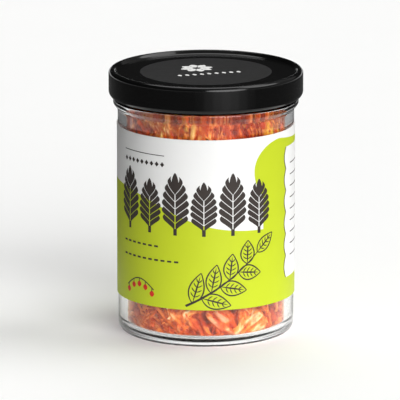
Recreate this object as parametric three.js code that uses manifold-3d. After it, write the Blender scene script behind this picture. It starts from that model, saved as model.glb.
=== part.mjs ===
// A shut glass jar of kimchi: a straight pressed-glass jar, a stamped twist lid, a wrap label
// whose ends leave a narrow gap at the back, and the packed cabbage that fills the glass.
// Millimetres, +Z up, origin at the middle of the foot, label's middle facing -Y.
import * as THREE from "three";
import { mergeVertices } from "three/addons/utils/BufferGeometryUtils.js";
import Module from "manifold-3d";

// Driving dimensions
const BODY_RADIUS = 39;
const TOTAL_HEIGHT = 117.5;
const WALL = 3.7;
const FLOOR = 2.7;
const LID_RADIUS = 43;
const LID_HEIGHT = 12.6;
const LID_SHEET = 0.8;
const LABEL_BOTTOM = 17.2;
const LABEL_TOP = 93.5;
const LABEL_SHEET = 0.25;
const LABEL_GAP = 7;
const CLEARANCE = 0.3;
const SIDES = 60;

// Glass: foot, heel, bead and mouth
const INNER_RADIUS = BODY_RADIUS - WALL;
const FOOT_RADIUS = 36.2;
const FOOT_INSIDE = 30;
const PUSH_UP = 1;
const PUSH_UP_RADIUS = 24;
const HEEL_HEIGHT = 4.2;
const INNER_CORNER = 4;
const LID_BOTTOM = TOTAL_HEIGHT - LID_HEIGHT;
const BEAD_RADIUS = 41;
const BEAD_TOP = LID_BOTTOM - CLEARANCE;
const BEAD_HEIGHT = 4.2;
const BEAD_ROUND = 2;
const BEAD_CORNER = 0.6;
const FINISH_RADIUS = 38.6;
const LIP_ROUND = 1.2;

// Lid: flat panel, narrow raised rim, rounded shoulder, skirt and rolled hem
const PANEL_DROP = 1.4;
const RIM_FOOT = 37.6;
const RIM_INSIDE = 40.8;
const RIM_CREST = 41.2;
const SHOULDER_DROP = 1.8;
const HEM_ROUND = 3.1;
const HEM_INSIDE = 39.3;
const LIP_TOP = TOTAL_HEIGHT - PANEL_DROP - LID_SHEET - CLEARANCE;

// Kimchi: a core with cut cabbage strips pressed against the glass all round it
const FILL_RADIUS = INNER_RADIUS - CLEARANCE;
const FILL_BOTTOM = FLOOR + 0.5;
const FILL_TOP = 112;
const CORE_RADIUS = FILL_RADIUS - 2.2;
const CORE_CORNER = 2.5;
const CORE_SIDES = 36;
const STRIP_ROWS = 7;
const STRIPS_PER_ROW = 7;
const STRIP_LENGTH = [26, 38];
const STRIP_WIDTH = [9, 14];
const STRIP_TILT = Math.PI / 3.2;
const STRIP_DEPTH = 4.4;
const STRIP_INSET = 3;
const STRIP_STEPS = 5;
const STRIP_SEED = 7;

const FULL_TURN = 2 * Math.PI;

// Directions in the (radius, height) plane, as angles of an arc
const [DOWN, OUT, UP, IN] = [-Math.PI / 2, 0, Math.PI / 2, Math.PI];

// Points along part of an ellipse in the (radius, height) plane, from one direction to another.
function arc(centre, radii, from, to, steps) {
  return Array.from({ length: steps + 1 }, (_, i) => {
    const a = from + ((to - from) * i) / steps;
    return [centre[0] + radii[0] * Math.cos(a), centre[1] + radii[1] * Math.sin(a)];
  });
}

// Points along part of a circle in the (radius, height) plane.
function round(centre, radius, from, to, steps) {
  return arc(centre, [radius, radius], from, to, steps);
}

// A smooth step from 0 to 1.
function smooth(t) {
  return t * t * (3 - 2 * t);
}

// Points of a face that rises smoothly from one (radius, height) point to another.
function rise(from, to, steps) {
  return Array.from({ length: steps + 1 }, (_, i) => [
    from[0] + ((to[0] - from[0]) * i) / steps,
    from[1] + (to[1] - from[1]) * smooth(i / steps),
  ]);
}

// Points of a wall that swells smoothly from one (radius, height) point to another.
function swollen(from, to, steps) {
  return Array.from({ length: steps + 1 }, (_, i) => [
    from[0] + (to[0] - from[0]) * smooth(i / steps),
    from[1] + ((to[1] - from[1]) * i) / steps,
  ]);
}

// A solid of revolution about +Z from a profile of (radius, height) points.
function turned(profile, sides) {
  const points = profile.map(([radius, height]) => new THREE.Vector2(radius, height));
  return new THREE.LatheGeometry(points, sides).rotateX(Math.PI / 2);
}

// Foot, outside wall, bead and finish, then over the lip and down the inside to the floor.
function glassJar() {
  const lipBase = LIP_TOP - LIP_ROUND;
  const beadFoot = BEAD_TOP - BEAD_HEIGHT;
  return turned(
    [
      [0, PUSH_UP],
      [PUSH_UP_RADIUS, PUSH_UP],
      [FOOT_INSIDE, 0],
      ...arc([FOOT_RADIUS, HEEL_HEIGHT], [BODY_RADIUS - FOOT_RADIUS, HEEL_HEIGHT], DOWN, OUT, 5),
      ...swollen([BODY_RADIUS, beadFoot], [BEAD_RADIUS, beadFoot + BEAD_ROUND], 4),
      ...round([BEAD_RADIUS - BEAD_CORNER, BEAD_TOP - BEAD_CORNER], BEAD_CORNER, OUT, UP, 2),
      [FINISH_RADIUS, BEAD_TOP],
      ...round([FINISH_RADIUS - LIP_ROUND, lipBase], LIP_ROUND, OUT, UP, 2),
      ...round([INNER_RADIUS + LIP_ROUND, lipBase], LIP_ROUND, UP, IN, 2),
      ...round([INNER_RADIUS - INNER_CORNER, FLOOR + INNER_CORNER], INNER_CORNER, OUT, DOWN, 3),
      [0, FLOOR],
    ],
    SIDES,
  );
}

// The lid's panel, rim and shoulder at a given depth below its outside face.
function lidFace(depth, steps) {
  const crest = TOTAL_HEIGHT - depth;
  const panel = crest - PANEL_DROP;
  const shift = 0.25 * depth;
  const rimOutside = LID_RADIUS - depth - RIM_CREST;
  return [
    [0, panel],
    ...rise([RIM_FOOT + shift, panel], [RIM_INSIDE + shift, crest], steps),
    ...arc([RIM_CREST, crest - SHOULDER_DROP], [rimOutside, SHOULDER_DROP], UP, OUT, steps),
  ];
}

// A shell of sheet metal: along its inside, round the rolled hem, then back over the outside.
function lid() {
  const hemTop = LID_BOTTOM + HEM_ROUND;
  const hemFoot = HEM_INSIDE + CLEARANCE;
  return turned(
    [
      ...lidFace(LID_SHEET, 3),
      [LID_RADIUS - LID_SHEET, hemTop + HEM_ROUND],
      [HEM_INSIDE, hemTop],
      ...arc([hemFoot, hemTop], [LID_RADIUS - hemFoot, HEM_ROUND], DOWN, OUT, 6),
      ...lidFace(0, 5).reverse(),
    ],
    SIDES,
  );
}

// A sheet bent round the glass, as an extruded sector of a ring open at the back.
function label() {
  const inside = BODY_RADIUS / Math.cos(Math.PI / SIDES) + CLEARANCE / 3;
  const outside = inside + LABEL_SHEET;
  const halfGap = LABEL_GAP / 2 / outside;
  const start = Math.PI / 2 + halfGap;
  const end = start + FULL_TURN - 2 * halfGap;
  const sector = new THREE.Shape();
  sector.absarc(0, 0, outside, start, end, false);
  sector.absarc(0, 0, inside, end, start, true);
  return new THREE.ExtrudeGeometry(sector, {
    depth: LABEL_TOP - LABEL_BOTTOM,
    bevelEnabled: false,
    curveSegments: SIDES,
  }).translate(0, 0, LABEL_BOTTOM);
}

// A small repeatable random sequence in [0, 1).
function seededDraws(seed) {
  let state = seed;
  return () => {
    state = (state * 16807) % 2147483647;
    return state / 2147483647;
  };
}

// The plain column of cabbage and paste that carries the strips.
function kimchiCore() {
  const edge = CORE_RADIUS - CORE_CORNER;
  const lowCorner = round([edge, FILL_BOTTOM + CORE_CORNER], CORE_CORNER, DOWN, OUT, 3);
  const highCorner = round([edge, FILL_TOP - CORE_CORNER], CORE_CORNER, OUT, UP, 3);
  return turned([[0, FILL_BOTTOM], ...lowCorner, ...highCorner, [0, FILL_TOP]], CORE_SIDES);
}

// One cabbage strip: a block that narrows and thins to its ends and edges, wrapped on the wall.
function cabbageStrip({ length, width, angle, height, tilt, wave }) {
  const strip = new THREE.BoxGeometry(length, width, STRIP_DEPTH, STRIP_STEPS, 2, 1);
  const place = strip.getAttribute("position");
  for (let i = 0; i < place.count; i++) {
    const along = place.getX(i) / (length / 2);
    const across = place.getY(i) / (width / 2);
    const narrow = 1 - 0.45 * along ** 4;
    const x = place.getX(i);
    const y = place.getY(i) * narrow + wave * Math.sin(2.5 * along);
    const thin = place.getZ(i) > 0 ? 0.75 * across ** 2 + 1.1 * along ** 4 : 0;
    const radius = FILL_RADIUS - STRIP_DEPTH / 2 + place.getZ(i) - thin;
    const turn = angle + (x * Math.cos(tilt) - y * Math.sin(tilt)) / FILL_RADIUS;
    const lift = height + x * Math.sin(tilt) + y * Math.cos(tilt);
    const level = THREE.MathUtils.clamp(lift, FILL_BOTTOM + STRIP_INSET, FILL_TOP - STRIP_INSET);
    place.setXYZ(i, radius * Math.cos(turn), radius * Math.sin(turn), level);
  }
  return strip;
}

// Staggered rows of strips all round the wall, each with its own size and lean.
function cabbageStrips() {
  const draw = seededDraws(STRIP_SEED);
  const between = ([low, high]) => low + (high - low) * draw();
  const rowHeight = (FILL_TOP - FILL_BOTTOM) / STRIP_ROWS;
  const strips = [];
  for (let row = 0; row < STRIP_ROWS; row++) {
    for (let i = 0; i < STRIPS_PER_ROW; i++) {
      strips.push(
        cabbageStrip({
          length: between(STRIP_LENGTH),
          width: between(STRIP_WIDTH),
          angle: ((i + (row % 2) / 2 + 0.5 * draw()) * FULL_TURN) / STRIPS_PER_ROW,
          height: FILL_BOTTOM + rowHeight * (row + 0.3 + 0.4 * draw()),
          tilt: between([-STRIP_TILT, STRIP_TILT]),
          wave: between([-2, 2]),
        }),
      );
    }
  }
  return strips;
}

const manifold = await Module();
manifold.setup();

// A closed geometry as a solid that can be joined to others.
function solidOf(geometry) {
  const bare = geometry.clone();
  bare.deleteAttribute("normal");
  bare.deleteAttribute("uv");
  const merged = mergeVertices(bare, 1e-4);
  return new manifold.Manifold(
    new manifold.Mesh({
      numProp: 3,
      vertProperties: merged.getAttribute("position").array,
      triVerts: new Uint32Array(merged.index.array),
    }),
  );
}

// A solid's vertices and triangles as a geometry again.
function geometryOf(solid) {
  const mesh = solid.getMesh();
  return new THREE.BufferGeometry()
    .setAttribute("position", new THREE.BufferAttribute(new Float32Array(mesh.vertProperties), 3))
    .setIndex(new THREE.BufferAttribute(new Uint32Array(mesh.triVerts), 1));
}

// The core and its strips fused into one heap.
function kimchi() {
  let heap = solidOf(kimchiCore());
  for (const strip of cabbageStrips()) {
    heap = heap.add(solidOf(strip));
  }
  return geometryOf(heap);
}

// One named piece with its own finish.
function piece(name, geometry, finish) {
  const mesh = new THREE.Mesh(geometry, new THREE.MeshStandardMaterial(finish));
  mesh.name = name;
  return mesh;
}

const jar = new THREE.Group();
jar.add(
  piece("glass_jar", glassJar(), {
    color: 0xe8eeec,
    roughness: 0.03,
    metalness: 0,
    transparent: true,
    opacity: 0.3,
  }),
  piece("lid", lid(), { color: 0x161616, roughness: 0.35, metalness: 0 }),
  piece("label", label(), { color: 0xc3d82f, roughness: 0.55, metalness: 0 }),
  piece("kimchi", kimchi(), { color: 0xc8551f, roughness: 0.35, metalness: 0 }),
);

export default jar;
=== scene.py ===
"""A shut jar of kimchi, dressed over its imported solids: a pressed-glass jar, a lacquered twist lid,
a printed wrap label, and cut cabbage, chilli paste and brine packed against the glass.

Shapes are worked out in millimetres and turned to metres where a mesh is made.
Distances on the label run round it from the middle of its front, to the right, and up from the foot.
"""

import math

import bpy
import numpy as np
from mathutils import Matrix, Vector


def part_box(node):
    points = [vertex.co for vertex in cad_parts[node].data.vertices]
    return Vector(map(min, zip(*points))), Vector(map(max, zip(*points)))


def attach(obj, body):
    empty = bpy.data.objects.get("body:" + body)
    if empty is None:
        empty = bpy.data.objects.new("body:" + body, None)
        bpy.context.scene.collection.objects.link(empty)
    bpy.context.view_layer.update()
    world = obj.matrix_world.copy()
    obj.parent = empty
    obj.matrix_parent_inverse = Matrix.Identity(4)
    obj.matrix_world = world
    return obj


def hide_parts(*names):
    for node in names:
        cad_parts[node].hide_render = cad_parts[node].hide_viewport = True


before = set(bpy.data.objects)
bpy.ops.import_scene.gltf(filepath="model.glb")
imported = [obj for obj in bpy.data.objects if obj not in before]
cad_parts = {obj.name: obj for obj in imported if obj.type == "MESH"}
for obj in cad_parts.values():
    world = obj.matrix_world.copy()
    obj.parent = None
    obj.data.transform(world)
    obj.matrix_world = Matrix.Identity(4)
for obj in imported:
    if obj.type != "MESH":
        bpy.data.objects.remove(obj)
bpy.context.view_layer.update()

MM = 0.001
FULL_TURN = 2 * math.pi
CREASE = math.radians(50)
ROUND_SIDES = 256


def node_box(name):
    """A solid's lowest and highest corner in millimetres."""
    low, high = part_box(name)
    return low / MM, high / MM


glass_high = node_box("glass_jar")[1]
lid_low, lid_high = node_box("lid")
label_low, label_high = node_box("label")
fill_high = node_box("kimchi")[1]

# Glass: the same foot, heel, bead and lip as the solid, with finer rounding
BEAD_RADIUS = glass_high.x
BEAD_REACH = 2.0
BODY_RADIUS = BEAD_RADIUS - BEAD_REACH
WALL = 3.7
INNER_RADIUS = BODY_RADIUS - WALL
FLOOR = 2.7
FOOT_RADIUS = 36.2
FOOT_INSIDE = 30.0
PUSH_UP = 1.0
PUSH_UP_RADIUS = 24.0
HEEL_HEIGHT = 4.2
INNER_CORNER = 4.0
LID_CLEARANCE = 0.3
BEAD_TOP = lid_low.z - LID_CLEARANCE
BEAD_HEIGHT = 5.0
BEAD_ROUND = 3.4
BEAD_CORNER = 0.6
FINISH_RADIUS = 38.6
LIP_ROUND = 1.2
LIP_TOP = glass_high.z

# Lid: flat panel, narrow raised rim, rounded shoulder, skirt and rolled hem of the stamped sheet
LID_RADIUS = lid_high.x
LID_TOP = lid_high.z
LID_SHEET = 0.8
PANEL_DROP = 1.4
DISC_RADIUS = 29.1
PANEL_EDGE = 37.8
RIM_FOOT = 38.8
RIM_INSIDE = 40.8
RIM_CREST = 41.2
SHOULDER_DROP = 1.8
HEM_ROUND = 3.1
HEM_INSIDE = 39.3
HEM_LIP = 0.3

# Inks and enamels lie a few hundredths of a millimetre proud of what they are printed on, in layers
INK = 0.025
INK_DEPTH = 0.8 * INK

# Label: paper round the body
LABEL_RADIUS = label_high.x
LABEL_GLUE = 0.05
LABEL_INSIDE = BODY_RADIUS + LABEL_GLUE
LABEL_BOTTOM = label_low.z
LABEL_TOP = label_high.z
LABEL_GAP = 7.0
LABEL_REACH = math.pi * LABEL_RADIUS - LABEL_GAP / 2

# Kimchi: pieces pressed against the glass, just into it behind the label and just clear where they show
FILL_REACH = 0.03
FILL_RADIUS = INNER_RADIUS + FILL_REACH
FILL_GAP = 0.1
FILL_BOTTOM = FLOOR + FILL_GAP
FILL_TOP = fill_high.z
SHOWN_GAP = 0.06
SHOWN_MARGIN = 6.0
CORNER_GAP = 0.2
PRESS = 0.12
PRESS_END = 0.5
BRINE_GAP = 0.12
BRINE_FILM = 0.05

# Directions in the (radius, height) plane, as angles of an arc
DOWN, OUT, UP, IN = -math.pi / 2, 0.0, math.pi / 2, math.pi


def linear(hex_colour):
    """An sRGB hex colour as linear red, green, blue and alpha."""
    channels = [int(hex_colour[i : i + 2], 16) / 255 for i in (1, 3, 5)]
    return (*[c / 12.92 if c <= 0.04045 else ((c + 0.055) / 1.055) ** 2.4 for c in channels], 1.0)


def node(tree, kind, inputs=(), **properties):
    """Adds a shader node: its properties by name, its inputs as socket and value or feeding output."""
    made = tree.nodes.new("ShaderNode" + kind)
    for name, value in properties.items():
        setattr(made, name, value)
    for socket, value in dict(inputs).items():
        if isinstance(value, bpy.types.NodeSocket):
            tree.links.new(value, made.inputs[socket])
        else:
            made.inputs[socket].default_value = value
    return made


def new_material(name):
    """An empty node material and its tree."""
    material = bpy.data.materials.new(name)
    material.use_nodes = True
    material.node_tree.nodes.clear()
    return material, material.node_tree


def per_mm(size):
    """The noise scale, in object metres, whose features are about this many millimetres across."""
    return 1 / (size * MM)


def arc(centre, radii, start, end, steps):
    """Points along part of an ellipse in the (radius, height) plane."""
    angles = np.linspace(start, end, steps + 1)
    return [(centre[0] + radii[0] * math.cos(a), centre[1] + radii[1] * math.sin(a)) for a in angles]


def round_solid(radius, height, first_end, last_end):
    """Points and faces of a solid from rings of radii and their heights, closed at its ends on the axis."""
    sides = radius.shape[1]
    turn = np.arange(sides) * FULL_TURN / sides
    sheet = np.broadcast_arrays(radius * np.sin(turn), -radius * np.cos(turn), height)
    points = np.stack(sheet, -1).reshape(-1, 3)
    index = np.arange(len(points)).reshape(-1, sides)
    after = np.roll(index, -1, axis=1)
    quads = np.stack([index[:-1], after[:-1], after[1:], index[1:]], -1).reshape(-1, 4).tolist()
    first, last = len(points), len(points) + 1
    points = np.vstack([points, [0, 0, first_end], [0, 0, last_end]])
    caps = [(first, b, a) for a, b in zip(index[0], after[0])]
    caps += [(last, a, b) for a, b in zip(index[-1], after[-1])]
    return points, quads + [tuple(map(int, cap)) for cap in caps]


def turned(profile, sides):
    """Points and faces of a solid turned about Z from (radius, height) points, from axis to axis."""
    rings = np.array(profile[1:-1])
    radius = np.repeat(rings[:, :1], sides, axis=1)
    return round_solid(radius, rings[:, 1:], profile[0][1], profile[-1][1])


def closed_sheet(outer, inner):
    """Points and faces of a thin closed solid between two grids of points that face each other."""
    rows, columns = outer.shape[:2]
    count = rows * columns
    index = np.arange(count).reshape(rows, columns)
    quads = np.stack([index[:-1, :-1], index[1:, :-1], index[1:, 1:], index[:-1, 1:]], -1).reshape(-1, 4)
    border = np.concatenate([index[:-1, 0], index[-1, :-1], index[:0:-1, -1], index[0, :0:-1]])
    after = np.roll(border, -1)
    rim = np.stack([after, border, border + count, after + count], -1)
    points = np.concatenate([outer.reshape(-1, 3), inner.reshape(-1, 3)])
    return points, np.concatenate([quads, quads[:, ::-1] + count, rim])


def joined(solids):
    """The points and faces of several solids as those of one."""
    starts = np.cumsum([0] + [len(points) for points, _ in solids[:-1]])
    points = np.concatenate([points for points, _ in solids])
    faces = np.concatenate([faces + start for start, (_, faces) in zip(starts, solids)])
    return points, faces.tolist()


def piece(name, shape, material, tints=None, lies=None):
    """A smooth mesh from points in millimetres and faces, which rides on the jar."""
    points, faces = shape
    mesh = bpy.data.meshes.new(name)
    mesh.from_pydata((np.asarray(points) * MM).tolist(), [], faces)
    mesh.materials.append(material)
    mesh.shade_smooth()
    mesh.set_sharp_from_angle(angle=CREASE)
    if tints is not None:
        attribute = mesh.color_attributes.new("tint", "FLOAT_COLOR", "POINT")
        attribute.data.foreach_set("color", np.asarray(tints, np.float32).ravel())
    if lies is not None:
        attribute = mesh.attributes.new("lie", "FLOAT_VECTOR", "POINT")
        attribute.data.foreach_set("vector", np.asarray(lies, np.float32).ravel())
    made = bpy.data.objects.new(name, mesh)
    bpy.context.scene.collection.objects.link(made)
    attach(made, "root")
    return made


# Materials


def pressed_glass():
    """Clear soda-lime glass, pressed and fire-polished: colourless, bending and mirroring at its edges."""
    material, tree = new_material("pressed_soda_lime_glass")
    place = node(tree, "TexCoord").outputs["Object"]
    ripple = node(tree, "TexNoise", {"Vector": place, "Scale": per_mm(14.0), "Detail": 1.0}).outputs["Fac"]
    bump = node(tree, "Bump", {"Height": ripple, "Strength": 0.06, "Distance": 0.4 * MM}).outputs["Normal"]
    shader = node(
        tree,
        "BsdfPrincipled",
        {
            "Base Color": linear("#FDFEFE"),
            "Roughness": 0.0,
            "IOR": 1.5,
            "Transmission Weight": 1.0,
            "Normal": bump,
        },
    ).outputs[0]
    node(tree, "OutputMaterial", {"Surface": shader})
    return material


def lacquer(name, colour, smoothest, roughest):
    """Lacquer baked on tinplate: a deep satin colour with a faint orange-peel in its sheen."""
    material, tree = new_material(name)
    place = node(tree, "TexCoord").outputs["Object"]
    peel = node(tree, "TexNoise", {"Vector": place, "Scale": per_mm(0.9), "Detail": 2.0}).outputs["Fac"]
    dust = node(tree, "TexNoise", {"Vector": place, "Scale": per_mm(6.0), "Detail": 4.0}).outputs["Fac"]
    sheen = node(tree, "MapRange", {"Value": dust, "To Min": smoothest, "To Max": roughest}).outputs[0]
    bump = node(tree, "Bump", {"Height": peel, "Strength": 0.05, "Distance": 0.05 * MM}).outputs["Normal"]
    shader = node(
        tree,
        "BsdfPrincipled",
        {
            "Base Color": linear(colour),
            "Roughness": sheen,
            "IOR": 1.5,
            "Specular IOR Level": 0.3,
            "Normal": bump,
        },
    ).outputs[0]
    node(tree, "OutputMaterial", {"Surface": shader})
    return material


def printed(name, colour, darker, roughness=0.5):
    """Flat print, or the bare calendered paper: an even colour, a little fibre and a soft gloss."""
    material, tree = new_material(name)
    place = node(tree, "TexCoord").outputs["Object"]
    fibre = node(tree, "TexNoise", {"Vector": place, "Scale": per_mm(0.8), "Detail": 5.0}).outputs["Fac"]
    cloud = node(tree, "TexNoise", {"Vector": place, "Scale": per_mm(9.0), "Detail": 3.0}).outputs["Fac"]
    tones = {"Factor": cloud, 6: linear(darker), 7: linear(colour)}
    blend = node(tree, "Mix", tones, data_type="RGBA").outputs[2]
    sheens = {"Value": fibre, "To Min": roughness - 0.06, "To Max": roughness + 0.08}
    gloss = node(tree, "MapRange", sheens).outputs[0]
    bump = node(tree, "Bump", {"Height": fibre, "Strength": 0.08, "Distance": 0.03 * MM}).outputs["Normal"]
    shader = node(
        tree,
        "BsdfPrincipled",
        {
            "Base Color": blend,
            "Roughness": gloss,
            "IOR": 1.45,
            "Specular IOR Level": 0.3,
            "Normal": bump,
        },
    ).outputs[0]
    node(tree, "OutputMaterial", {"Surface": shader})
    return material


# The vegetable's fibres, in millimetres
FIBRE_LENGTH = 7.0
FIBRE_SPACING = 1.1


def wet_food(name, roughness, stain, flesh):
    """Salted vegetable in chilli paste: its own tint, stained in streaks along its fibres, wet all over."""
    material, tree = new_material(name)
    place = node(tree, "TexCoord").outputs["Object"]
    tint = node(tree, "Attribute", attribute_name="tint").outputs["Color"]
    lie = node(tree, "Attribute", attribute_name="lie").outputs["Vector"]
    fibres = {0: lie, 1: (1 / FIBRE_LENGTH, 1 / FIBRE_SPACING, 1.0)}
    drawn = node(tree, "VectorMath", fibres, operation="MULTIPLY").outputs[0]
    bundles = {"Vector": drawn, "Scale": 1.0, "Detail": 4.0, "Distortion": 0.8}
    streaks = node(tree, "TexNoise", bundles).outputs["Fac"]
    spots = node(tree, "TexNoise", {"Vector": place, "Scale": per_mm(2.4), "Detail": 5.0}).outputs["Fac"]
    mottle = node(tree, "Math", {0: streaks, 1: spots}, operation="ADD").outputs[0]
    most = {"Value": mottle, "From Min": 1.02, "From Max": 1.26, "To Max": 0.75}
    paste = node(tree, "MapRange", most).outputs[0]
    least = {"Value": mottle, "From Min": 0.96, "From Max": 0.7, "To Max": 0.65}
    bare = node(tree, "MapRange", least).outputs[0]
    stained = node(tree, "Mix", {"Factor": paste, 6: tint, 7: linear(stain)}, data_type="RGBA").outputs[2]
    colour = node(tree, "Mix", {"Factor": bare, 6: stained, 7: linear(flesh)}, data_type="RGBA").outputs[2]
    bump = node(tree, "Bump", {"Height": mottle, "Strength": 0.35, "Distance": 0.2 * MM}).outputs["Normal"]
    shader = node(
        tree,
        "BsdfPrincipled",
        {
            "Base Color": colour,
            "Roughness": roughness,
            "IOR": 1.38,
            "Specular IOR Level": 0.25,
            "Normal": bump,
        },
    ).outputs[0]
    node(tree, "OutputMaterial", {"Surface": shader})
    return material


def chilli_brine():
    """Pickling brine stained by chilli: a clear orange film that deepens what lies behind it."""
    material, tree = new_material("chilli_stained_brine")
    place = node(tree, "TexCoord").outputs["Object"]
    cloud = node(tree, "TexNoise", {"Vector": place, "Scale": per_mm(5.0), "Detail": 3.0}).outputs["Fac"]
    tones = {"Factor": cloud, 6: linear("#FFE6C4"), 7: linear("#FFF0DA")}
    colour = node(tree, "Mix", tones, data_type="RGBA").outputs[2]
    shader = node(tree, "BsdfTransparent", {"Color": colour}).outputs[0]
    node(tree, "OutputMaterial", {"Surface": shader})
    return material


def studio_paper(name, colour, darker):
    """Seamless studio paper: matt and even, with a faint cloud in its tone."""
    material, tree = new_material(name)
    place = node(tree, "TexCoord").outputs["Object"]
    grain = node(tree, "TexNoise", {"Vector": place, "Scale": per_mm(40.0), "Detail": 3.0}).outputs["Fac"]
    tones = {"Factor": grain, 6: linear(darker), 7: linear(colour)}
    blend = node(tree, "Mix", tones, data_type="RGBA").outputs[2]
    shader = node(tree, "BsdfPrincipled", {"Base Color": blend, "Roughness": 0.7}).outputs[0]
    node(tree, "OutputMaterial", {"Surface": shader})
    return material


# Glass and lid


def swell(t):
    """A smooth rise from 0 to 1."""
    return t * t * (3 - 2 * t)


def glass_profile():
    """Foot, outside wall, bead and finish, then over the lip and down the inside to the floor."""
    lip_base = LIP_TOP - LIP_ROUND
    bead_foot = BEAD_TOP - BEAD_HEIGHT
    bead_rise = np.linspace(0, 1, 13)
    corner = (INNER_CORNER, INNER_CORNER)
    return [
        (0.0, PUSH_UP),
        (PUSH_UP_RADIUS, PUSH_UP),
        (FOOT_INSIDE, 0.0),
        *arc((FOOT_RADIUS, HEEL_HEIGHT), (BODY_RADIUS - FOOT_RADIUS, HEEL_HEIGHT), DOWN, OUT, 14),
        *[(BODY_RADIUS + BEAD_REACH * swell(t), bead_foot + BEAD_ROUND * t) for t in bead_rise],
        *arc((BEAD_RADIUS - BEAD_CORNER, BEAD_TOP - BEAD_CORNER), (BEAD_CORNER, BEAD_CORNER), OUT, UP, 6),
        (FINISH_RADIUS, BEAD_TOP),
        *arc((FINISH_RADIUS - LIP_ROUND, lip_base), (LIP_ROUND, LIP_ROUND), OUT, UP, 6),
        *arc((INNER_RADIUS + LIP_ROUND, lip_base), (LIP_ROUND, LIP_ROUND), UP, IN, 6),
        *arc((INNER_RADIUS - INNER_CORNER, FLOOR + INNER_CORNER), corner, OUT, DOWN, 8),
        (0.0, FLOOR),
    ]


def lid_face(depth, steps):
    """The lid's panel, rim and shoulder at a depth below its outside face."""
    crest = LID_TOP - depth
    panel = crest - PANEL_DROP
    # The sheet's inside face bends a little further out than its outside one
    rim_foot = RIM_FOOT + 0.25 * depth
    rim_width = RIM_INSIDE - RIM_FOOT
    rim_outside = LID_RADIUS - depth - RIM_CREST
    rim_rise = np.linspace(0, 1, steps + 1)
    return [
        (0.0, panel),
        (PANEL_EDGE, panel),
        *[(rim_foot + rim_width * t, panel + PANEL_DROP * swell(t)) for t in rim_rise],
        *arc((RIM_CREST, crest - SHOULDER_DROP), (rim_outside, SHOULDER_DROP), UP, OUT, steps),
    ]


def lid_profile():
    """Along the lid's inside, round the rolled hem, then back over the outside."""
    hem_top = lid_low.z + HEM_ROUND
    hem_foot = HEM_INSIDE + HEM_LIP
    return [
        *lid_face(LID_SHEET, 8),
        (LID_RADIUS - LID_SHEET, hem_top + HEM_ROUND),
        (HEM_INSIDE, hem_top),
        *arc((hem_foot, hem_top), (LID_RADIUS - hem_foot, HEM_ROUND), DOWN, OUT, 14),
        *lid_face(0.0, 14)[::-1],
    ]


def panel_disc():
    """A round of matt enamel on the middle of the lid's panel."""
    high = LID_TOP - PANEL_DROP + INK
    low = high - INK_DEPTH
    return turned([(0.0, low), (DISC_RADIUS, low), (DISC_RADIUS, high), (0.0, high)], ROUND_SIDES)


GLASS = pressed_glass()
glass = piece("glass_jar_clear", turned(glass_profile(), ROUND_SIDES), GLASS)
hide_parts("glass_jar")
glass.visible_shadow = False

BLACK_LACQUER = lacquer("baked_black_lacquer_on_tinplate", "#0A0A0A", 0.10, 0.14)
CHARCOAL_ENAMEL = lacquer("matt_charcoal_enamel_on_tinplate", "#191919", 0.40, 0.50)
lid = piece("lid_lacquered", turned(lid_profile(), ROUND_SIDES), BLACK_LACQUER)
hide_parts("lid")
piece("lid_panel_enamel", panel_disc(), CHARCOAL_ENAMEL)


# Label and its print

LABEL_STEPS = 360

# Block-cut leaves in a row, bands on each of their sides, and leaves on the branch
LEAVES = 6
LEAF_BANDS = 6
SIDE_LEAVES = 7

# The white panel's edges and the scallops of its left one
SIDE_LEFT = 43.4
SIDE_RIGHT = 78.0
SIDE_LOW = 27.0
SIDE_HIGH = 86.0
SCALLOP = 1.5
SCALLOP_LENGTH = 9.83


def wrapped(across, up, radius):
    """Points round the jar: a distance across the label, a height and a radius."""
    turn = np.asarray(across) / LABEL_RADIUS
    return np.stack(np.broadcast_arrays(radius * np.sin(turn), -radius * np.cos(turn), up), -1)


def on_label(across, up, layer):
    """A printed area on the label, from a grid of places on it."""
    top = LABEL_RADIUS + INK * layer
    return closed_sheet(wrapped(across, up, top), wrapped(across, up, top - INK_DEPTH))


def on_lid(across, up, layer):
    """A printed area on the lid's panel, from a grid of places on it."""
    top = LID_TOP - PANEL_DROP + INK * layer
    flat = np.stack([across, up, np.full_like(across, top)], -1)
    return closed_sheet(flat, flat - (0, 0, INK_DEPTH))


def stroke(path, half_width, layer, place=on_label):
    """A printed stroke along a path of (across, up) points, as wide as its half width at each point."""
    path = np.asarray(path, float)
    along = np.gradient(path, axis=0)
    along /= np.linalg.norm(along, axis=1, keepdims=True)
    side = np.stack([-along[:, 1], along[:, 0]], -1) * np.broadcast_to(half_width, len(path))[:, None]
    grid = path[:, None] + side[:, None] * np.linspace(-1, 1, 4)[None, :, None]
    return place(grid[..., 0], grid[..., 1], layer)


def line(start, end, half_width, layer, place=on_label):
    """A straight stroke between two places."""
    return stroke(np.linspace(start, end, 12), half_width, layer, place)


def drop(foot, tip, half_width, layer, place=on_label, bend=0.0):
    """A pointed oval from a foot to a tip, bowed sideways by its bend."""
    t = np.linspace(0, 1, 19)[:, None]
    foot, tip = np.asarray(foot, float), np.asarray(tip, float)
    reach = tip - foot
    path = foot + reach * t + np.array([-reach[1], reach[0]]) * bend * np.sin(math.pi * t)
    return stroke(path, half_width * np.sin(math.pi * t[:, 0]) ** 0.7 + 0.01, layer, place)


def label_sheet():
    """The paper itself, wrapped round the body with a gap at the back."""
    across = np.linspace(-LABEL_REACH, LABEL_REACH, LABEL_STEPS + 1)[:, None]
    up = np.linspace(LABEL_BOTTOM, LABEL_TOP, 3)[None, :]
    return closed_sheet(wrapped(across, up, LABEL_RADIUS), wrapped(across, up, LABEL_INSIDE))


def wave_height(across):
    """The height of the green field's upper edge, which falls slowly across the front."""
    middle, fall = 60.7, 9.3
    steepest, spread = -16.0, 22.0
    return middle - fall * np.tanh((across - steepest) / spread)


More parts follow.
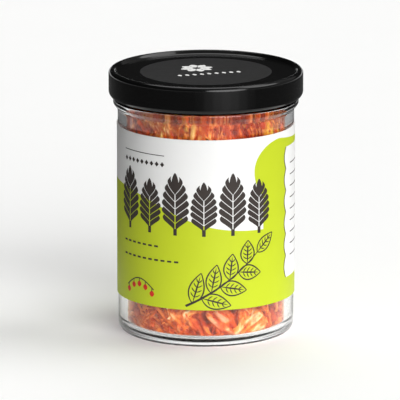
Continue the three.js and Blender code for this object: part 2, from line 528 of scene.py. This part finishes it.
def green_wave():
    """The coloured lower field, from the label's bottom edge up to its wave."""
    across = np.linspace(-LABEL_REACH, LABEL_REACH, LABEL_STEPS + 1)[:, None]
    share = np.linspace(0, 1, 9)[None, :]
    up = LABEL_BOTTOM + share * (wave_height(across) - LABEL_BOTTOM)
    return on_label(across + 0 * share, up, 1)


def green_rise():
    """The coloured field's round rise at the right, which goes on round the back."""
    crown, half_width = 38.0, 15.6
    waist, above, below = 78.0, 13.0, 15.7
    # Past its join with the wave the rise reaches down into it, and past its crown it falls a little
    join, low_edge, fall, spread = 27.3, 48.0, 2.6, 18.0
    round_side = np.linspace(crown - half_width + 0.05, join - 0.01, 25)
    across = np.concatenate([round_side, np.linspace(join + 0.01, LABEL_REACH, 240)])[:, None]
    bulge = np.sqrt(np.clip(1 - ((crown - across) / half_width) ** 2, 0, 1))
    far_top = waist + above - fall * np.tanh((across - crown) / spread)
    top = np.where(across < crown, waist + above * bulge, far_top)
    low = np.where(across < join, waist - below * bulge, low_edge)
    share = np.linspace(0, 1, 9)[None, :]
    return on_label(across + 0 * share, low + share * (top - low), 1.5)


def bold_leaf(middle, foot, height, width):
    """A block-cut leaf: bands between its veins on both sides of the midrib, with a ruffled edge."""
    vein, midrib, slant = 0.055, 0.22, 0.2
    stalk_below, stalk_above, stalk_half = 2.2, 0.8, 0.8
    out = np.linspace(0, 1, 7)[:, None]
    step = np.linspace(vein, 1 - vein, 6)[None, :]
    bands = []
    for side in (-1, 1):
        for band in range(LEAF_BANDS):
            share = (band + step) / LEAF_BANDS
            t = (1 - slant) * share + slant * out * (0.75 + 0.25 * share)
            ruffle = 1 - 0.2 * (2 * step - 1) ** 2
            reach = 0.5 * width * np.sin(math.pi * (0.16 + 0.80 * t)) ** 0.6 * ruffle
            across = middle + side * (midrib + out * reach)
            up = foot + height * t
            if side < 0:
                across, up = across[::-1], up[::-1]
            bands.append(on_label(across, up, 2))
    tip = drop((middle, foot + 0.66 * height), (middle, foot + 1.06 * height), 0.13 * width, 2.4)
    stalk = line((middle, foot - stalk_below), (middle, foot + stalk_above), stalk_half, 2.4)
    return bands + [tip, stalk]


def leaf_row():
    """A row of taller and shorter block-cut leaves across the front."""
    first, spacing, foot = -39.6, 12.9, 52.6
    heights, widths = (24.5, 21.0), (12.4, 11.6)
    leaves = []
    for i in range(LEAVES):
        leaves += bold_leaf(first + spacing * i, foot, heights[i % 2], widths[i % 2])
    return leaves


def fine_lines():
    """Thin rules, a row of diamonds and rows of dashes round the leaves."""
    rule_up, rule_left, rule_right, rule_half = 85.6, -43.5, -19.0, 0.17
    diamonds, diamond_up, diamond_first, diamond_spacing = 9, 81.6, -42.4, 2.8
    diamond_reach, diamond_half = 1.0, [0.02, 1.15, 0.02]
    dash_first, dash_length, dash_spacing, dash_half = -44.0, 2.0, 3.3, 0.42
    marks = [line((rule_left, rule_up), (rule_right, rule_up), rule_half, 2)]
    for i in range(diamonds):
        middle = diamond_first + diamond_spacing * i
        ends = [(middle + step * diamond_reach, diamond_up) for step in (-1, 0, 1)]
        marks.append(stroke(ends, diamond_half, 2))
    for dash_up, dashes in ((44.6, 7), (38.4, 10)):
        for i in range(dashes):
            start = dash_first + dash_spacing * i
            marks.append(line((start, dash_up), (start + dash_length, dash_up), dash_half, 2))
    return marks


def line_leaf(foot, heading, length, width):
    """A leaf in line: its outline on both sides, a midrib and side veins."""
    t = np.linspace(0, 1, 33)
    ahead = np.array([math.cos(heading), math.sin(heading)])
    beside = np.array([-ahead[1], ahead[0]])
    strokes = [drop(foot, foot + ahead * length * 0.9, 0.36, 3)]
    for side in (-1, 1):
        reach = 0.5 * width * np.sin(math.pi * t**0.8) ** 0.9
        edge = foot + np.outer(t * length, ahead) + np.outer(side * reach, beside)
        strokes.append(stroke(edge, 0.22 + 0.1 * np.sin(math.pi * t), 3))
        for share in (0.2, 0.36, 0.52, 0.68):
            start = foot + ahead * length * share
            out = side * 0.36 * width * math.sin(math.pi * (share + 0.1) ** 0.8)
            end = foot + ahead * length * (share + 0.13) + beside * out
            strokes.append(drop(start, end, 0.24, 3, bend=0.08 * side))
    return strokes


def leaf_branch():
    """A branch of line leaves, rising to the right low on the front."""
    t = np.linspace(0, 1, 33)
    foot_across, foot_up, reach = -9.0, 19.0, 33.0
    stem = np.stack([foot_across + reach * t, foot_up + 15 * t + 8 * t**2], -1)
    strokes = [stroke(stem, 0.55 - 0.35 * t, 3)]
    length, shorter, width, spread = 14.0, 0.6, 6.6, 46
    for i in range(SIDE_LEAVES):
        side = (1, -1)[i % 2]
        along_stem = 28 + 14 * i / (SIDE_LEAVES - 1)
        heading = math.radians(along_stem + side * spread)
        strokes += line_leaf(stem[3 + 4 * i], heading, length - shorter * i, width)
    strokes += line_leaf(stem[-1], math.radians(42), 11.5, 5.6)
    return strokes


def berry_arch(share):
    """A place along the low arch that the berries hang on."""
    left, width, foot, rise = -41.5, 17.0, 24.6, 4.2
    return np.array([left + width * share, foot + rise * math.sin(math.pi * share)])


def berry_spots():
    """The places on the arch that the berries hang from."""
    return [berry_arch(share) for share in np.linspace(0.06, 0.94, 5)]


def berries():
    """Five round red berries under an arch."""
    return [drop(top - (0.0, 1.2), top - (0.0, 4.0), 1.25, 2) for top in berry_spots()]


def berry_stalks():
    """The arch and a short stalk down to each berry."""
    arch = stroke([berry_arch(share) for share in np.linspace(0, 1, 25)], 0.26, 3)
    return [arch] + [line(top, top - (0.0, 1.6), 0.2, 3) for top in berry_spots()]


def scalloped(up):
    """The white panel's left edge at a height, in scallops."""
    return SIDE_LEFT - SCALLOP * np.abs(np.sin(math.pi * (up - SIDE_LOW) / SCALLOP_LENGTH))


def side_panel():
    """A white panel with a scalloped edge, round to the right."""
    up = np.linspace(SIDE_LOW, SIDE_HIGH, 121)[None, :]
    share = np.linspace(0, 1, 25)[:, None]
    left = scalloped(up)
    return on_label(left + share * (SIDE_RIGHT - left), up + 0 * share, 2)


def panel_lines():
    """The white panel's scalloped outline and thin rules of three lengths."""
    rules, rule_left, rule_top, rule_spacing, rule_half = 9, 48.0, 78.0, 5.2, 0.22
    rule_ends = (73.0, 67.0, 61.0)
    edge = np.linspace(SIDE_LOW, SIDE_HIGH, 121)
    marks = [stroke(np.stack([scalloped(edge), edge], -1), 0.28, 3)]
    for i in range(rules):
        up = rule_top - rule_spacing * i
        marks.append(line((rule_left, up), (rule_ends[i % 3], up), rule_half, 3))
    return marks


def lid_rosette():
    """Eight petals round a bare middle and a short dotted row in front of them, a little turned."""
    tilt = math.radians(18)
    turned_axes = np.array([[math.cos(tilt), -math.sin(tilt)], [math.sin(tilt), math.cos(tilt)]])
    middle, petals, petal_foot, petal_tip, petal_half = np.array([-2.0, 7.0]), 8, 1.6, 7.4, 1.9
    dots, dot_first, dot_spacing, dot_low, dot_high, dot_half = 9, -14.0, 3.4, -7.5, -4.5, 0.9

    def spot(place):
        return turned_axes @ place + (0.0, 1.0)

    marks = []
    for i in range(petals):
        turn = i * FULL_TURN / petals
        out = np.array([math.sin(turn), math.cos(turn)])
        foot, tip = spot(middle + petal_foot * out), spot(middle + petal_tip * out)
        marks.append(drop(foot, tip, petal_half, 2, on_lid))
    for i in range(dots):
        across = dot_first + dot_spacing * i
        low, high = spot(np.array([across, dot_low])), spot(np.array([across, dot_high]))
        marks.append(drop(low, high, dot_half, 2, on_lid))
    return marks


LABEL_STOCK = printed("calendered_label_paper", "#EEEEED", "#E9E9E8")
GREEN_INK = printed("offset_lime_green_ink", "#BDCC27", "#B9C823")
BROWN_INK = printed("offset_dark_brown_ink", "#3A3330", "#352E2B", 0.55)
RED_INK = printed("offset_pepper_red_ink", "#CF2E20", "#C3281B", 0.5)
WHITE_INK = printed("screen_printed_white_enamel", "#F6F6F4", "#EFEFEC", 0.45)

label = piece("label_paper", joined([label_sheet()]), LABEL_STOCK)
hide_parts("label")
piece("label_green", joined([green_wave(), green_rise()]), GREEN_INK)
piece("label_leaf_row", joined(leaf_row()), BROWN_INK)
piece("label_fine_lines", joined(fine_lines() + panel_lines()), BROWN_INK)
piece("label_leaf_branch", joined(leaf_branch() + berry_stalks()), BROWN_INK)
piece("label_berries", joined(berries()), RED_INK)
piece("label_side_panel", joined([side_panel()]), LABEL_STOCK)
piece("lid_rosette", joined(lid_rosette()), WHITE_INK)


# Kimchi

draw = np.random.default_rng(19)

# Tones of the cabbage and paste from the darkest crease to the palest rib; where a piece falls along them
# carries painted shade as well as its own tone
TONES = [linear(tone) for tone in ("#742612", "#A8421E", "#CE6C36", "#EC9F5C", "#FFDCA6")]
GREENISH = linear("#B0965A")
RED_PASTE = linear("#B83A22")
CHILLI = linear("#A82C14")

# Stains that a tint is seen through, high in the jar: straw and red patches of the fill's own colour, which
# also darken it as painted shade
UNSTAINED = linear("#FFFFFF")
STRAW_STAIN_AND_SHADE = linear("#B8FF9C")
RED_STAIN_AND_SHADE = linear("#D89480")
STAIN_AND_SHADE_DEPTH = 2.3


def toned(share):
    """Colours along the row of tones, from crease to rib."""
    stops = np.linspace(0, 1, len(TONES))
    return np.stack([np.interp(share, stops, channel) for channel in zip(*TONES)], -1)


def blended(low, high, share):
    """Colours between two, by a share at each point."""
    share = np.clip(share, 0, 1)[..., None]
    return np.asarray(low) * (1 - share) + np.asarray(high) * share


def soft_floor(value, least, softness):
    """Values kept above a least one, with a soft bend where they meet it."""
    return least + softness * np.logaddexp(0, (value - least) / softness)


def wall_radius(height):
    """The pieces' outermost radius at a height: just into the glass behind the label, just clear of it
    where it shows, and rounded in towards the jar's floor."""
    down = np.clip((FLOOR + INNER_CORNER - height) / INNER_CORNER, 0, 1)
    below = LABEL_BOTTOM + SHOWN_MARGIN - height
    above = height - LABEL_TOP + SHOWN_MARGIN
    shown = np.clip(np.maximum(below, above), 0, 1)
    gap = SHOWN_GAP * shown + CORNER_GAP * down
    return FILL_RADIUS - gap - INNER_CORNER * (1 - np.sqrt(1 - down**2))


def on_glass(x, y, depth, spot, lean):
    """Points of a piece laid against the glass, turned by its lean and pressed flat on the wall."""
    turn = spot[0] + (x * math.cos(lean) - y * math.sin(lean)) / FILL_RADIUS
    height = spot[1] + x * math.sin(lean) + y * math.cos(lean)
    height = soft_floor(height, FILL_BOTTOM, PRESS_END)
    height = -soft_floor(-height, -FILL_TOP, PRESS_END)
    radius = wall_radius(height) - soft_floor(depth, 0.0, PRESS)
    return np.stack(np.broadcast_arrays(radius * np.sin(turn), -radius * np.cos(turn), height), -1)


def even_spots(count):
    """Spots spread evenly over the wall on a spiral by the golden ratio, each a little off its place."""
    golden = 0.618034
    for i in range(count):
        turn = i * FULL_TURN * golden + draw.uniform(-0.15, 0.15)
        level = FILL_BOTTOM + (FILL_TOP - FILL_BOTTOM) * (i + 0.5) / count
        yield turn, level + draw.uniform(-4, 4)


def upright(spot):
    """A direction for a piece: near upright high in the jar, any way low in it."""
    lowest, span = 15.0, 70.0
    high = np.clip((spot[1] - lowest) / span, 0, 1)
    return draw.normal(math.pi / 2, 1.1 - 0.75 * high)


def laid(x, y):
    """Each point's place on its piece, along and across its fibres, with a number of the piece's own."""
    return np.stack(np.broadcast_arrays(x, y, draw.uniform(0, 500)), -1)


def doubled(values):
    """A grid's values as one row, for its front and again for its back."""
    return np.concatenate([values.reshape(-1, values.shape[-1])] * 2)


def painted_top_shade(spot):
    """How much painted shade a piece gets for lying high in the jar, standing for the lid's shadow over the
    top of the fill.
    """
    most, lowest, span = 0.35, 40.0, 50.0
    return most * float(np.clip((spot[1] - lowest) / span, 0, 1))


def yellowed(spot):
    """A share from red to straw, in broad patches round the jar."""
    patches, first = 4, -0.55
    drift = 0.8 * math.sin(0.11 * spot[1])
    return 0.5 + 0.5 * math.cos(patches * (spot[0] - first) + drift)


def aged_and_shaded(tint, spot):
    """Tints under more or less red paste, and high in the jar stained red or straw in patches, which also
    darken them as painted shade.
    """
    red = max(0.0, draw.normal(0.05, 0.28))
    pasted = blended(tint, RED_PASTE, np.full(tint.shape[:-1], red))
    # The stain also darkens the high pieces: painted shade
    stain = blended(RED_STAIN_AND_SHADE, STRAW_STAIN_AND_SHADE, np.array(yellowed(spot)))
    return pasted * blended(UNSTAINED, stain, np.array(STAIN_AND_SHADE_DEPTH * painted_top_shade(spot)))


def leaf_patch(spot):
    """A crumpled piece of cabbage leaf: folds along its length, darker in the creases partly for paste and
    partly as painted shade.
    """
    length, width = draw.uniform(15, 30), draw.uniform(8, 15)
    lean = upright(spot)
    sunk = draw.uniform(0.2, 1.6)
    period, fold = draw.uniform(1.7, 4.4), draw.uniform(0.5, 1.3)
    wave = draw.uniform(0, FULL_TURN, 9)
    along = np.linspace(-1, 1, 24)[:, None]
    across = np.linspace(-1, 1, 14)[None, :]
    half = 0.5 * width * (1 - np.abs(along) ** 3) ** 0.5 + 0.3
    half = half * (1 + 0.15 * np.sin(3 * along + wave[0]) + 0.1 * np.sin(8 * along + wave[1]))
    x = 0.5 * length * along + 0.05 * length * np.sin(2.5 * across + wave[2])
    y = across * half + 0.14 * width * np.sin(1.8 * along + wave[3])
    warp = 0.9 * np.sin(2.6 * along + wave[4]) + 0.4 * np.sin(6.3 * along + 2 * across + wave[5])
    folds = 2 * np.abs(np.sin(math.pi * y / period + warp + wave[6])) - 1
    crumple = np.sin(4.1 * along + 2.2 * across + wave[7]) * np.sin(3.3 * across - 1.7 * along + wave[8])
    depth = sunk - 0.5 * fold * folds - 0.6 * crumple + 0.9 * np.abs(across) ** 4
    thick = draw.uniform(0.5, 0.9)
    sheet = on_glass(x, y, depth, spot, lean)
    back = on_glass(x, y, depth + thick, spot, lean)
    # Painted shade in the tint: lighter where the folds and the crumple come up to the glass, darker where
    # the piece is sunk deeper, towards its edges, which bend away, and high in the jar
    pale = draw.normal(0.58, 0.16) - painted_top_shade(spot)
    tint = toned(pale + 0.25 * folds + 0.26 * crumple - 0.07 * sunk - 0.15 * np.abs(across) ** 3)
    if draw.uniform() < 0.06:
        tint = blended(tint, GREENISH, 0.4 + 0.3 * crumple)
    return closed_sheet(sheet, back), doubled(aged_and_shaded(tint, spot)), doubled(laid(x, y))


def rib_piece(spot):
    """A thick pale piece of cabbage rib, lens-shaped across and ridged along its fibres."""
    length, width = draw.uniform(9, 20), draw.uniform(3.5, 7)
    thick = draw.uniform(2.0, 3.4)
    lean = upright(spot)
    sunk = draw.uniform(0.3, 2.0)
    wave = draw.uniform(0, FULL_TURN, 6)
    along = np.linspace(-1, 1, 20)[:, None]
    across = np.linspace(-1, 1, 11)[None, :]
    half = 0.5 * width * (1 - np.abs(along) ** 5) ** 0.5
    half = half * (1 + 0.12 * np.sin(2.5 * along + wave[0])) + 0.2
    x = 0.5 * length * along
    y = across * half + 0.2 * width * np.sin(1.6 * along + wave[1])
    bulge = 0.5 * thick * np.sqrt(np.clip(1 - across**2, 0, 1)) * (1 - 0.7 * np.abs(along) ** 4) + 0.05
    fibres = np.sin(FULL_TURN * y / 1.8 + wave[2] + 0.8 * np.sin(3 * along + wave[3]))
    middle = sunk + 0.5 * thick + 0.4 * np.sin(2 * along + wave[4])
    sheet = on_glass(x, y, middle - bulge - 0.18 * fibres, spot, lean)
    back = on_glass(x, y, middle + bulge, spot, lean)
    # Painted shade in the tint: darker towards the rib's sides, which curve away from the glass, the deeper
    # it is sunk and high in the jar, and lighter on the ridges of its fibres
    pale = draw.normal(0.72, 0.14) - painted_top_shade(spot)
    smear = np.sin(2.7 * along + 1.9 * across + wave[5])
    tint = toned(pale - 0.28 * np.abs(across) ** 2 + 0.1 * fibres + 0.12 * smear - 0.08 * sunk)
    return closed_sheet(sheet, back), doubled(aged_and_shaded(tint, spot)), doubled(laid(x, y))


def shred(spot):
    """A thin julienne strip of carrot, radish or green onion."""
    length, width = draw.uniform(9, 20), draw.uniform(1.1, 2.0)
    lean = upright(spot) + draw.normal(0, 0.3)
    sunk = draw.uniform(0.0, 1.4)
    wave = draw.uniform(0, FULL_TURN, 3)
    along = np.linspace(-1, 1, 16)[:, None]
    across = np.linspace(-1, 1, 5)[None, :]
    half = 0.5 * width * (1 - np.abs(along) ** 8) ** 0.5 + 0.05
    x = 0.5 * length * along + 0 * across
    y = across * half + 1.4 * np.sin(2.1 * along + wave[0])
    bulge = 0.4 * width * np.sqrt(np.clip(1 - across**2, 0, 1)) + 0.04
    middle = sunk + 0.4 * width + 0.5 * np.sin(2.4 * along + wave[1])
    sheet = on_glass(x, y, middle - bulge, spot, lean)
    back = on_glass(x, y, middle + bulge, spot, lean)
    # Painted shade in the tint: darker towards the strip's rounded sides, the deeper it is sunk and high in
    # the jar
    pale = draw.normal(0.52, 0.16) - painted_top_shade(spot)
    tint = toned(pale + 0.12 * np.sin(3 * along + wave[2]) - 0.2 * np.abs(across) ** 2 - 0.06 * sunk)
    if draw.uniform() < 0.06:
        tint = blended(tint, GREENISH, np.full(tint.shape[:2], 0.6))
    return closed_sheet(sheet, back), doubled(aged_and_shaded(tint, spot)), doubled(laid(x, y))


def chilli_flake(spot):
    """A flat flake of dried chilli against the glass."""
    size = draw.uniform(0.25, 0.6)
    lean = draw.uniform(0, FULL_TURN)
    sunk = draw.uniform(0.0, 0.9)
    step = np.linspace(-1, 1, 3)
    x = size * (step[:, None] * (1 - 0.3 * step[None, :] ** 2)) * draw.uniform(0.8, 1.7)
    y = size * (step[None, :] * (1 - 0.4 * step[:, None] ** 2))
    depth = sunk + 0.12 * draw.normal(size=(3, 3))
    sheet = on_glass(x, y, depth, spot, lean)
    back = on_glass(x, y, depth + 0.2, spot, lean)
    tint = blended(TONES[0], CHILLI, np.full((3, 3), draw.uniform(0, 1)))
    return closed_sheet(sheet, back), doubled(aged_and_shaded(tint, spot)), doubled(laid(x, y))


def paste_core():
    """The mass behind the pieces: chilli paste and fine shreds, lumpy all round."""
    sides, rows, lumps = 320, 180, 26
    turn = np.arange(sides) * FULL_TURN / sides
    height = np.linspace(FILL_BOTTOM, FILL_TOP, rows)[:, None]
    lump = np.zeros((rows, sides))
    for _ in range(lumps):
        around, rise = draw.integers(4, 60), draw.normal(0, 0.9)
        size = draw.uniform(0.1, 0.3)
        lump += size * np.sin(around * turn + rise * height + draw.uniform(0, FULL_TURN))
    end = np.minimum(height - FILL_BOTTOM, FILL_TOP - height)
    depth = 1.7 - lump + 1.5 * np.clip(1 - end / 2.5, 0, 1) ** 2
    radius = wall_radius(height) - soft_floor(depth, 0.0, PRESS)
    # Painted shade in the tint: lighter on the lumps, which come nearer the glass, and darker where the
    # paste lies deeper
    tint = toned(0.2 + 0.2 * lump).reshape(-1, 4)
    lie = np.stack(np.broadcast_arrays(height, turn * FILL_RADIUS, 0.0), -1).reshape(-1, 3)
    shape = round_solid(radius, height, FILL_BOTTOM, FILL_TOP)
    return shape, np.vstack([tint, TONES[:1], TONES[:1]]), np.vstack([lie, np.zeros((2, 3))])


def brine_profile():
    """A film of brine between the pieces and the glass, from the jar's floor to the top of the fill."""
    outside = [(wall_radius(h) - BRINE_GAP, h) for h in np.linspace(FILL_BOTTOM, FILL_TOP, 60)]
    inside = [(radius - BRINE_FILM, height) for radius, height in outside[::-1]]
    return [(0.0, FILL_BOTTOM), *outside, *inside, (0.0, FILL_BOTTOM + BRINE_FILM)]


def scattered(name, make, count, material):
    """One mesh of many pieces of a kind, spread evenly over the wall."""
    made = [make(spot) for spot in even_spots(count)]
    solids, tints, lies = zip(*made)
    tint, lie = np.concatenate(tints), np.concatenate(lies)
    return piece(name, joined(solids), material, tint, lie)


LEAF_PIECES = 140
RIB_PIECES = 80
SHREDS = 120
CHILLI_FLAKES = 900
BRINE_SIDES = 192

CABBAGE = wet_food("salted_cabbage_in_chilli", 0.42, "#9A3218", "#F6C486")
PASTE = wet_food("ground_chilli_paste", 0.35, "#7A1F10", "#B4512A")

core_shape, core_tint, core_lie = paste_core()
core = piece("kimchi_paste_core", core_shape, PASTE, core_tint, core_lie)
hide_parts("kimchi")
scattered("kimchi_leaf_pieces", leaf_patch, LEAF_PIECES, CABBAGE)
scattered("kimchi_rib_pieces", rib_piece, RIB_PIECES, CABBAGE)
scattered("kimchi_shreds", shred, SHREDS, CABBAGE)
scattered("kimchi_chilli_flakes", chilli_flake, CHILLI_FLAKES, PASTE)
brine = piece("kimchi_brine", turned(brine_profile(), BRINE_SIDES), chilli_brine())
brine.visible_shadow = False


# Studio: floor, lights and camera

FLOOR_RADIUS = 4000.0
NEAR_RADIUS = 150.0
RING_STEPS = 96


def paper_ring(name, material, inside, outside, rise=0.0, start=0.0, span=360.0):
    """A ring of studio paper or part of one, level or rising, by degrees to the right from the front."""
    turn = np.radians(start + np.linspace(0, span, RING_STEPS + 1))
    rim = np.stack([np.sin(turn), -np.cos(turn), 0 * turn], -1)
    points = np.concatenate([rim * inside, rim * outside + (0, 0, rise)])
    across = RING_STEPS + 1
    faces = [(i, i + across, i + across + 1, i + 1) for i in range(RING_STEPS)]
    mesh = bpy.data.meshes.new(name)
    mesh.from_pydata((points * MM).tolist(), [], faces)
    mesh.materials.append(material)
    made = bpy.data.objects.new(name, mesh)
    bpy.context.scene.collection.objects.link(made)
    return made


def seen_by(made, *rays):
    """Lets only some kinds of ray see a piece of the studio."""
    for ray in ("camera", "diffuse", "glossy", "transmission", "shadow"):
        setattr(made, "visible_" + ray, ray in rays)


WHITE_PAPER = studio_paper("seamless_white_paper", "#FDFDFC", "#FBFBFA")
paper_ring("floor_near", WHITE_PAPER, 0.0, NEAR_RADIUS)
# Only the paper near the jar lights it from below, and the rest shows straight on and through the glass
floor_far = paper_ring("floor_far", WHITE_PAPER, NEAR_RADIUS, FLOOR_RADIUS)
seen_by(floor_far, "camera", "transmission")
backdrop = paper_ring("backdrop", WHITE_PAPER, FLOOR_RADIUS, FLOOR_RADIUS, FLOOR_RADIUS)
seen_by(backdrop, "camera", "transmission")

# The paper in front, which the lacquer and the glass mirror, with a painted pool of light: its greys are
# brightest a little to the right and painted darker to both sides
FRONT_PAINTED_GREYS = ("#505050", "#909090", "#C0C0C0", "#D8D8D8", "#C0C0C0", "#909090", "#505050")
FRONT_START = -12.0
FRONT_SPAN = 10.0
LAYER_GAP = 0.5
for i, grey in enumerate(FRONT_PAINTED_GREYS):
    front_paper = studio_paper(f"shaded_paper_{i}", grey, grey)
    start = FRONT_START + FRONT_SPAN * i
    front = paper_ring(f"floor_front_{i}", front_paper, NEAR_RADIUS, FLOOR_RADIUS, 0.0, start, FRONT_SPAN)
    front.location.z = -LAYER_GAP * MM
    seen_by(front, "glossy")

# Grey cards on the table behind, which only the high glass shows at its edges, where they put painted shade
# into it
CARD_NEAR = 200.0
CARD_FAR = 900.0
CARD_SPAN = 55.0
for side, start, grey in (("left", -178.0, "#707070"), ("right", 123.0, "#A8A8A8")):
    card_paper = studio_paper(f"painted_shade_card_{side}", grey, grey)
    card = paper_ring(f"card_{side}", card_paper, CARD_NEAR, CARD_FAR, 0.0, start, CARD_SPAN)
    card.location.z = LAYER_GAP * MM
    seen_by(card, "transmission")


def soft_sun(name, azimuth, elevation, spread, strength):
    """A broad, even studio light from a direction, with soft shadows by its spread."""
    lamp = bpy.data.lights.new(name, "SUN")
    lamp.energy = strength * math.pi
    lamp.angle = math.radians(spread)
    made = bpy.data.objects.new(name, lamp)
    a, e = math.radians(azimuth), math.radians(elevation)
    away = Vector((math.sin(a) * math.cos(e), -math.cos(a) * math.cos(e), math.sin(e)))
    made.rotation_euler = away.to_track_quat("Z", "Y").to_euler()
    bpy.context.scene.collection.objects.link(made)


# Each light's degrees to the right of the front, up and across, and its strength on white paper
soft_sun("key", 25, 22, 46, 0.98)
soft_sun("side", 98, 52, 36, 0.36)
soft_sun("top", 95, 64, 110, 0.16)
soft_sun("back", 180, 60, 40, 0.26)

# Pale walls low round the table with a bright line at its horizon, and a dark ceiling
world = bpy.data.worlds.new("studio")
world.use_nodes = True
walls = world.node_tree
walls.nodes.clear()
direction = node(walls, "TexCoord").outputs["Generated"]
upward = node(walls, "SeparateXYZ", {"Vector": direction}).outputs["Z"]
wall_tones = {"Value": upward, "From Min": -0.2, "From Max": 0.2, "To Min": 0.1, "To Max": 0.015}
wall_glow = node(walls, "MapRange", wall_tones).outputs[0]
from_level = node(walls, "Math", {0: upward}, operation="ABSOLUTE").outputs[0]
line_tones = {"Value": from_level, "From Min": 0.02, "From Max": 0.06, "To Min": 1.8, "To Max": 0.0}
line_glow = node(walls, "MapRange", line_tones).outputs[0]
glow = node(walls, "Math", {0: wall_glow, 1: line_glow}, operation="ADD").outputs[0]
light = node(walls, "Background", {"Color": linear("#FFFFFF"), "Strength": glow}).outputs[0]
node(walls, "OutputWorld", {"Surface": light})
bpy.context.scene.world = world
bpy.context.scene.view_settings.view_transform = "Standard"

# The photograph's camera: far off with a long lens, 13 degrees above the table
# The focal length and the image's width are in pixels
IMAGE = 400
FOCAL = 5973
SENSOR = 36.0
CAMERA_ELEVATION = 13.0
CAMERA_DISTANCE = 2650.0
AIM = Vector((-2.6, 0.0, 57.85))
camera_data = bpy.data.cameras.new("camera")
camera_data.sensor_width = SENSOR
camera_data.lens = SENSOR * FOCAL / IMAGE
camera_data.clip_end = 100.0
camera = bpy.data.objects.new("camera", camera_data)
pitch = math.radians(CAMERA_ELEVATION)
camera.location = (AIM + Vector((0, -math.cos(pitch), math.sin(pitch))) * CAMERA_DISTANCE) * MM
camera.rotation_euler = (math.pi / 2 - pitch, 0, 0)
bpy.context.scene.collection.objects.link(camera)
bpy.context.scene.camera = camera
